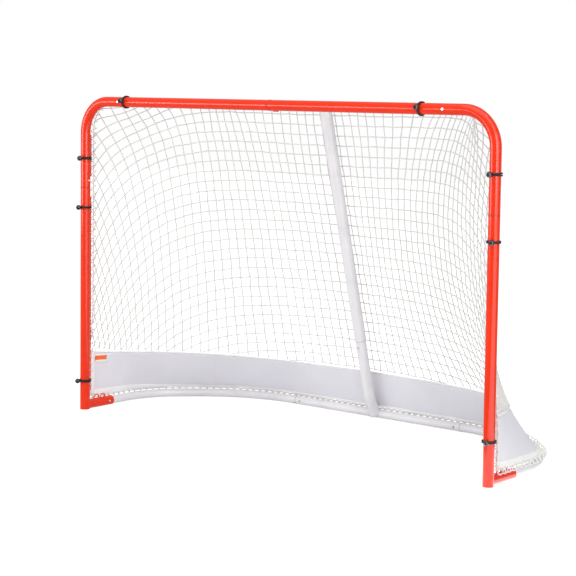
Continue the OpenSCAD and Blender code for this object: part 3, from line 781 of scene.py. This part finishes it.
def tie_loop_points(spread):
    """A closed loop of cord round a tube in two strands, which meet in front under the ball."""
    points = []
    count = 56
    for i in range(2 * count):
        back = i >= count
        share = (i % count) / count
        turn = 2 * math.pi * (1 - share if back else share)
        apart = spread * (0.28 + 0.72 * math.sin(turn / 2) ** 0.7)
        rise = 0.0018 * math.exp(-((min(turn, 2 * math.pi - turn) / 0.35) ** 2))
        r = ELASTIC_LOOP_R + rise
        points.append((r * math.cos(turn), r * math.sin(turn), -apart if back else apart))
    return points


def add_ties():
    """Each tie: the doubled loop with the neck that the ball is threaded on, and the ball."""
    to_ball = Matrix.Translation((BALL_REACH, 0, 0)) @ Matrix.Rotation(math.pi / 2, 4, "Y")
    for number, place in enumerate(tie_places(), 1):
        loops = Sweeps(8)
        spread = 0.0031 + 0.0006 * math.sin(2.3 * number)
        loops.cord(tie_loop_points(spread), LOOP_CORD_R, closed=True)
        neck = [(BALL_REACH - 0.0105 + 0.001 * i, 0.0, 0.0) for i in range(20)]
        loops.cord(neck, NECK_R)
        loop = loops.piece(f"elastic_loop_{number}")
        loop.data.transform(place)
        replaced = ("elastic_loops",) if number == 1 else ()
        fix(loop, "elastic_cord", *replaced)
        ball = ball_piece(f"elastic_ball_{number}")
        ball.data.transform(place @ to_ball)
        replaced = ("elastic_balls",) if number == 1 else ()
        fix(ball, "ball_plastic", *replaced)


def ball_piece(name):
    """A moulded ball with a parting line and a countersunk hole at each pole, flatter below."""
    profile = [(0.0022, 0.0060), (0.0026, 0.0088)]
    for i in range(15):
        a = math.radians(72 - i * 9.0)
        swell = 1.012 if abs(a) < 0.05 else 1.0
        profile.append((BALL_R * 0.99 * swell * math.cos(a), BALL_R * 0.99 * math.sin(a)))
    profile += [(0.0026, -0.0088), (0.0022, -0.0060)]
    verts, faces = lathe(profile, 24)
    return mesh_piece(name, verts, faces)


# ------------------------------------------------------------------ brace foot and tube joints

JOINT_LINE_R = 0.0011
THIN_LINE_R = JOINT_LINE_R * 0.8
POST_SEAM_Z = 0.87
BASE_SEAM_X = BEND_X - 0.012
BRACE_SEAM = (0.0, 0.544, 0.313)
BRACE_SEAM_R = 0.0212
BRACE_LEAN = math.atan((BRACE_SEAM[1] - SHELF_DEPTH) / (BAR_Z - BRACE_SEAM[2]))
BRACE_FOOT_LEAN = math.radians(28)
BRACE_FOOT = (0.0, 0.643, BASE_Z)
BRACE_ELBOW_S = 0.2275  # from the joint down to the elbow
BRACE_BEND_REACH = 0.024
BRACE_FOOT_R = 0.02
BRACE_FOOT_PROUD = 0.0007
FLARE = 0.0035
FLARE_HEIGHT = 0.034


def add_brace_foot():
    """Softens the brace's elbow, and widens its foot where it is welded on the floor tube."""
    down = np.array((0.0, math.sin(BRACE_LEAN), -math.cos(BRACE_LEAN)))
    foot_down = np.array((0.0, math.sin(BRACE_FOOT_LEAN), -math.cos(BRACE_FOOT_LEAN)))
    elbow = np.array(BRACE_SEAM) + down * BRACE_ELBOW_S
    start, end = elbow - down * BRACE_BEND_REACH, elbow + foot_down * BRACE_BEND_REACH
    points = []
    for f in np.linspace(0, 1, 13):
        points.append(start * (1 - f) ** 2 + 2 * elbow * f * (1 - f) + end * f * f)
    points += [end + (np.array(BRACE_FOOT) - end) * f for f in np.linspace(0.1, 1, 10)]
    radii = []
    for i, (_, _, z) in enumerate(points):
        spread = max(0.0, 1 - (z - BASE_Z) / FLARE_HEIGHT)
        radii.append(BRACE_FOOT_R + BRACE_FOOT_PROUD * min(1.0, i / 5) + FLARE * spread * spread)
    tube = Sweeps(40)
    tube.cord([(x, row_y(y), z) for x, y, z in points], BRACE_FOOT_R, radii=radii)
    fix(tube.piece("brace_foot"), "tube_paint")


def ring(centre, axis, radius):
    """A circle of points round an axis."""
    turn = Vector((0, 0, 1)).rotation_difference(Vector(axis)).to_matrix()
    spots = []
    for i in range(48):
        a = 2 * math.pi * i / 48
        spots.append(Vector(centre) + turn @ Vector((radius * math.cos(a), radius * math.sin(a), 0)))
    return [spot[:] for spot in spots]


def add_joint_lines():
    """Thin dark rings, a little proud of the tubes: painted shade for the gaps where one tube slides into
    the next.
    """
    red, grey = Sweeps(6), Sweeps(6)
    red.cord(ring((0, row_y(0), BAR_Z), (1, 0, 0), POST_R), JOINT_LINE_R, closed=True)
    for side in (-1, 1):
        post = (side * POST_X, row_y(0), POST_SEAM_Z - 0.0006)
        red.cord(ring(post, (0, 0, 1), POST_R), THIN_LINE_R, closed=True)
        base = (side * BASE_SEAM_X, row_y(GOAL_DEPTH), BASE_Z)
        grey.cord(ring(base, (1, 0, 0), BASE_R), THIN_LINE_R, closed=True)
    x, y, z = BRACE_SEAM
    axis = (0, -math.sin(BRACE_LEAN), math.cos(BRACE_LEAN))
    grey.cord(ring((x, row_y(y), z), axis, BRACE_SEAM_R), JOINT_LINE_R, closed=True)
    # dark rings that paint the shade inside each joint's gap
    fix(red.piece("joint_gap_shade_red"), "frame_paint", look="red_gap_shade")
    fix(grey.piece("joint_gap_shade_grey"), "tube_paint", look="grey_gap_shade")


# ------------------------------------------------------------------ materials


def srgb(red, green, blue):
    """Linear colour of an sRGB one given from 0 to 255."""
    return tuple(
        v / 12.92 if v <= 0.04045 else ((v + 0.055) / 1.055) ** 2.4
        for v in (red / 255, green / 255, blue / 255)
    ) + (1.0,)


COAT_ROUGH = 0.06


class Finish:
    """A material with one Principled shader, and short ways to add nodes to it."""

    def __init__(self, name, colour, rough, metal=0.0, coat=0.0, sheen=0.0):
        self.material = bpy.data.materials.new(name)
        self.material.use_nodes = True
        self.nodes = self.material.node_tree.nodes
        self.links = self.material.node_tree.links
        self.shader = self.nodes["Principled BSDF"]
        self.set("Base Color", colour)
        self.set("Roughness", rough)
        self.set("Metallic", metal)
        self.set("Coat Weight", coat)
        self.set("Coat Roughness", COAT_ROUGH)
        self.set("Sheen Weight", sheen)

    def set(self, socket, value):
        self.shader.inputs[socket].default_value = value

    def where(self, kind="Object"):
        return self.nodes.new("ShaderNodeTexCoord").outputs[kind]

    def noise(self, where, scale, detail=3.0, rough=0.5, stretch=None):
        if stretch is not None:
            mapping = self.nodes.new("ShaderNodeMapping")
            mapping.inputs["Scale"].default_value = stretch
            self.links.new(where, mapping.inputs["Vector"])
            where = mapping.outputs["Vector"]
        node = self.nodes.new("ShaderNodeTexNoise")
        node.inputs["Scale"].default_value = scale
        node.inputs["Detail"].default_value = detail
        node.inputs["Roughness"].default_value = rough
        self.links.new(where, node.inputs["Vector"])
        return node.outputs["Fac"]

    def waves(self, where, scale, stretch):
        mapping = self.nodes.new("ShaderNodeMapping")
        mapping.inputs["Scale"].default_value = stretch
        self.links.new(where, mapping.inputs["Vector"])
        node = self.nodes.new("ShaderNodeTexWave")
        node.bands_direction = "DIAGONAL"
        node.inputs["Scale"].default_value = scale
        self.links.new(mapping.outputs["Vector"], node.inputs["Vector"])
        return node.outputs["Fac"]

    def ramp(self, value, stops):
        node = self.nodes.new("ShaderNodeValToRGB")
        bar = node.color_ramp.elements
        while len(bar) < len(stops):
            bar.new(0.5)
        for stop, (place, colour) in zip(bar, stops):
            stop.position = place
            stop.color = colour
        self.links.new(value, node.inputs["Fac"])
        return node.outputs["Color"]

    def colour(self, value, stops):
        self.links.new(self.ramp(value, stops), self.shader.inputs["Base Color"])

    def roughness(self, value, low, high):
        shades = [(0.3, (low, low, low, 1)), (0.7, (high, high, high, 1))]
        self.links.new(self.ramp(value, shades), self.shader.inputs["Roughness"])

    def bump(self, *layers):
        """Each layer is a value, its strength and its depth in metres."""
        last = None
        for value, strength, depth in layers:
            node = self.nodes.new("ShaderNodeBump")
            node.inputs["Strength"].default_value = strength
            node.inputs["Distance"].default_value = depth
            self.links.new(value, node.inputs["Height"])
            if last is not None:
                self.links.new(last, node.inputs["Normal"])
            last = node.outputs["Normal"]
        self.links.new(last, self.shader.inputs["Normal"])


def shade(colour, factor):
    """The colour made lighter or darker by a factor."""
    return tuple(min(1.0, v * factor) for v in colour[:3]) + (1.0,)


def enamel(name, colour, rough=0.15):
    """Glossy baked paint on tube: a faint orange peel, and slight unevenness of tone."""
    finish = Finish(name, colour, rough, coat=0.2)
    finish.set("Specular IOR Level", 0.3)
    where = finish.where()
    broad = finish.noise(where, 9, 4)
    finish.colour(broad, [(0.3, shade(colour, 0.94)), (0.7, shade(colour, 1.04))])
    finish.roughness(finish.noise(where, 45, 5), rough * 0.8, rough * 1.3)
    finish.bump((finish.noise(where, 420, 2), 0.10, 0.0006), (finish.noise(where, 60, 3), 0.10, 0.0010))
    return finish.material


def powder(name, colour):
    """Satin powder coat on tube, with a fine texture and a little handling dirt."""
    finish = Finish(name, colour, 0.38, coat=0.15)
    where = finish.where()
    grime = finish.noise(where, 7, 6, 0.6)
    finish.colour(grime, [(0.28, shade(colour, 0.90)), (0.5, colour), (0.8, shade(colour, 1.04))])
    finish.roughness(finish.noise(where, 30, 5), 0.32, 0.46)
    finish.bump((finish.noise(where, 700, 2), 0.18, 0.0005), (finish.noise(where, 80, 3), 0.08, 0.0010))
    return finish.material


def plated(name, colour, rough):
    """Plated or drawn metal with fine scratches round it."""
    finish = Finish(name, colour, rough, metal=1.0)
    where = finish.where()
    finish.roughness(finish.noise(where, 260, 4, 0.6, (1, 1, 6)), rough * 0.7, rough * 1.5)
    finish.colour(finish.noise(where, 90, 3), [(0.3, shade(colour, 0.85)), (0.7, colour)])
    finish.bump((finish.noise(where, 900, 2, 0.5, (1, 1, 4)), 0.12, 0.0003))
    return finish.material


def cord_cloth(name, colour, strands, lift, rough=0.85):
    """Twisted or braided cord: strands run slantwise round it, with a fine fibre and painted shade in the
    grooves between strands.
    """
    finish = Finish(name, colour, rough, sheen=0.08)
    along = finish.nodes.new("ShaderNodeUVMap")
    along.uv_map = "along"
    twist_and_groove_shade = finish.waves(along.outputs["UV"], 1.0, (strands, strands / 180, 1))
    fibre = finish.noise(finish.where(), 1500, 2)
    # the colour darkens where the twist's bump is low: painted shade in the grooves between strands
    finish.colour(twist_and_groove_shade, [(0.1, shade(colour, 0.95)), (0.6, colour)])
    finish.bump((twist_and_groove_shade, 0.15, lift), (fibre, 0.10, 0.0002))
    return finish.material


def vinyl(name, colour, rough, grain):
    """Coated cloth: the weave shows faintly through a soft sheen."""
    finish = Finish(name, colour, rough, sheen=0.05)
    where = finish.where()
    weave = finish.nodes.new("ShaderNodeTexVoronoi")
    weave.inputs["Scale"].default_value = grain
    finish.links.new(where, weave.inputs["Vector"])
    stain = finish.noise(where, 5, 5, 0.6)
    finish.colour(stain, [(0.25, shade(colour, 0.93)), (0.6, colour), (0.9, shade(colour, 1.03))])
    finish.roughness(finish.noise(where, 40, 4), rough * 0.85, rough * 1.15)
    finish.bump((weave.outputs["Distance"], 0.22, 0.0005), (finish.noise(where, 28, 3), 0.30, 0.0030))
    return finish.material


def woven_tag(name):
    """Woven ribbon in two generic bands of colour."""
    finish = Finish(name, srgb(235, 150, 95), 0.8, sheen=0.3)
    where = finish.where()
    split = finish.nodes.new("ShaderNodeSeparateXYZ")
    finish.links.new(where, split.inputs["Vector"])
    orange, white = srgb(236, 104, 48), srgb(238, 232, 226)
    bands = finish.nodes.new("ShaderNodeMapRange")
    bands.inputs["From Min"].default_value = TAG_Z
    bands.inputs["From Max"].default_value = TAG_Z + TAG_SIDE
    finish.links.new(split.outputs["Z"], bands.inputs["Value"])
    stops = [(0.0, white), (0.22, white), (0.24, orange), (0.74, orange), (0.76, white)]
    finish.colour(bands.outputs["Result"], stops)
    finish.bump((finish.noise(where, 1400, 2, 0.5, (1, 1, 0.3)), 0.4, 0.0003))
    return finish.material


def moulded(name, colour):
    """Dark moulded plastic with a soft shine."""
    finish = Finish(name, colour, 0.25, coat=0.4)
    where = finish.where()
    finish.roughness(finish.noise(where, 160, 4), 0.22, 0.34)
    finish.colour(finish.noise(where, 50, 3), [(0.3, shade(colour, 0.8)), (0.7, shade(colour, 1.3))])
    finish.bump((finish.noise(where, 500, 2), 0.12, 0.0003))
    return finish.material


MATERIALS = {
    "frame_paint": enamel("frame_paint", srgb(228, 46, 6)),
    # the two dark gap finishes are painted shade for the gaps inside the tube joints, red and grey
    "red_gap_shade": powder("red_gap_shade", srgb(120, 22, 14)),
    "grey_gap_shade": powder("grey_gap_shade", srgb(150, 150, 150)),
    "tube_paint": powder("tube_paint", srgb(224, 223, 226)),
    "button_paint": enamel("button_paint", srgb(206, 18, 40), 0.16),
    "button_steel": plated("button_steel", srgb(205, 207, 210), 0.22),
    "spring_steel": plated("spring_steel", srgb(120, 121, 124), 0.34),
    "screw_steel": plated("screw_steel", srgb(222, 223, 226), 0.16),
    "elastic_cord": cord_cloth("elastic_cord", srgb(14, 14, 15), 260, 0.0004),
    "ball_plastic": moulded("ball_plastic", srgb(10, 10, 11)),
    "net_cord": cord_cloth("net_cord", srgb(212, 212, 209), 330, 0.0003),
    "lacing_cord": cord_cloth("lacing_cord", srgb(232, 232, 229), 300, 0.0004),
    "tag_cloth": woven_tag("tag_cloth"),
    "skirt_vinyl": vinyl("skirt_vinyl", srgb(222, 221, 228), 0.5, 900),
    "hem_tape": vinyl("hem_tape", srgb(240, 240, 240), 0.6, 1300),
}


def paint_cad_nodes():
    """Each CAD node that stays in view gets the full material of its slot."""
    for part in frame["record"]["subparts"]:
        node = frame["nodes"][part["node"]]
        node.data.materials.clear()
        node.data.materials.append(MATERIALS[part["material_slot"]])


# ------------------------------------------------------------------ studio

BRIGHT_STRIP = (0.94, -0.34, 0.0)
STRIP_STRENGTH = 3.2
STRIP_SHADES = ((0.30, 0.16), (0.80, 0.03), (0.93, 0.95), (1.0, 1.0))
AMBIENT = 0.62
FLOOR_HALF = 14.0
FLOOR_SEEN = 0.62
FLOOR_UNSEEN = 0.12


def strip_glow(nodes, links, coordinates):
    """Strength of the studio in reflections: dark all round but for a bright strip on the right."""
    where = nodes.new("ShaderNodeTexCoord")
    level = nodes.new("ShaderNodeVectorMath")
    level.operation = "MULTIPLY"
    level.inputs[1].default_value = (1, 1, 0)
    links.new(where.outputs[coordinates], level.inputs[0])
    unit = nodes.new("ShaderNodeVectorMath")
    unit.operation = "NORMALIZE"
    links.new(level.outputs["Vector"], unit.inputs[0])
    facing = nodes.new("ShaderNodeVectorMath")
    facing.operation = "DOT_PRODUCT"
    facing.inputs[1].default_value = BRIGHT_STRIP
    links.new(unit.outputs["Vector"], facing.inputs[0])
    shades = nodes.new("ShaderNodeValToRGB")
    bar = shades.color_ramp.elements
    while len(bar) < len(STRIP_SHADES):
        bar.new(0.5)
    for stop, (place, grey) in zip(bar, STRIP_SHADES):
        stop.position = place
        stop.color = (grey, grey, grey, 1)
    links.new(facing.outputs["Value"], shades.inputs["Fac"])
    return shades.outputs["Color"]


def add_floor():
    """A white floor for the camera, which is dim for the soft light and dark in reflections."""
    mesh = bpy.data.meshes.new("floor")
    corners = [(x * FLOOR_HALF, y * FLOOR_HALF, 0) for x, y in ((-1, -1), (1, -1), (1, 1), (-1, 1))]
    mesh.from_pydata(corners, [], [(0, 1, 2, 3)])
    floor = bpy.data.objects.new("floor", mesh)
    bpy.context.scene.collection.objects.link(floor)
    finish = Finish("floor", (0.8, 0.8, 0.8, 1), 0.9)
    finish.set("Specular IOR Level", 0.0)
    nodes, links = finish.nodes, finish.links
    glow, dim, mirrored_glow = (nodes.new("ShaderNodeEmission") for _ in range(3))
    glow.inputs["Strength"].default_value = FLOOR_SEEN
    dim.inputs["Strength"].default_value = FLOOR_UNSEEN
    mirrored_glow.inputs["Strength"].default_value = STRIP_STRENGTH
    links.new(strip_glow(nodes, links, "Object"), mirrored_glow.inputs["Color"])
    path = nodes.new("ShaderNodeLightPath")
    seen, mirrored = (nodes.new("ShaderNodeMixShader") for _ in range(2))
    both = nodes.new("ShaderNodeAddShader")
    links.new(path.outputs["Is Camera Ray"], seen.inputs["Fac"])
    links.new(dim.outputs["Emission"], seen.inputs[1])
    links.new(glow.outputs["Emission"], seen.inputs[2])
    links.new(finish.shader.outputs["BSDF"], both.inputs[0])
    links.new(seen.outputs["Shader"], both.inputs[1])
    links.new(path.outputs["Is Glossy Ray"], mirrored.inputs["Fac"])
    links.new(both.outputs["Shader"], mirrored.inputs[1])
    links.new(mirrored_glow.outputs["Emission"], mirrored.inputs[2])
    links.new(mirrored.outputs["Shader"], nodes["Material Output"].inputs["Surface"])
    mesh.materials.append(finish.material)


def area_light(name, at, towards, size, energy, size_y=None):
    """A rectangular soft light that the camera doesn't see."""
    data = bpy.data.lights.new(name, "AREA")
    data.shape = "RECTANGLE"
    data.size, data.size_y = size, size_y or size
    data.energy = energy
    light = bpy.data.objects.new(name, data)
    bpy.context.scene.collection.objects.link(light)
    light.location = at
    light.rotation_euler = (Vector(towards) - Vector(at)).to_track_quat("-Z", "Y").to_euler()
    light.visible_camera = False


def add_world():
    """White behind the goal for the camera, soft light from all round, the strip in reflections."""
    world = bpy.data.worlds.new("studio")
    bpy.context.scene.world = world
    world.use_nodes = True
    nodes, links = world.node_tree.nodes, world.node_tree.links
    ambient = nodes["Background"]
    ambient.inputs["Color"].default_value = (1, 1, 1, 1)
    ambient.inputs["Strength"].default_value = AMBIENT
    seen, mirrored_glow = (nodes.new("ShaderNodeBackground") for _ in range(2))
    seen.inputs["Color"].default_value = (1, 1, 1, 1)
    mirrored_glow.inputs["Strength"].default_value = STRIP_STRENGTH
    links.new(strip_glow(nodes, links, "Generated"), mirrored_glow.inputs["Color"])
    path = nodes.new("ShaderNodeLightPath")
    camera, mirrored = (nodes.new("ShaderNodeMixShader") for _ in range(2))
    links.new(path.outputs["Is Camera Ray"], camera.inputs["Fac"])
    links.new(ambient.outputs["Background"], camera.inputs[1])
    links.new(seen.outputs["Background"], camera.inputs[2])
    links.new(path.outputs["Is Glossy Ray"], mirrored.inputs["Fac"])
    links.new(camera.outputs["Shader"], mirrored.inputs[1])
    links.new(mirrored_glow.outputs["Background"], mirrored.inputs[2])
    links.new(mirrored.outputs["Shader"], nodes["World Output"].inputs["Surface"])


def add_lights():
    aim = (0, 0, 0.5)
    area_light("key", (4.8, -2.6, 1.9), aim, 2.4, 90, 2.8)
    area_light("left", (-3.6, -4.2, 1.0), aim, 3.0, 78, 1.4)
    area_light("top", (0.4, -2.0, 5.2), aim, 5.0, 135)


bpy.context.scene.view_settings.view_transform = "Standard"
add_camera()
add_world()
add_lights()
add_floor()
paint_cad_nodes()
add_net()
add_edges()
add_base_lacing()
add_skirt()
add_tag()
add_ties()
add_brace_foot()
add_joint_lines()
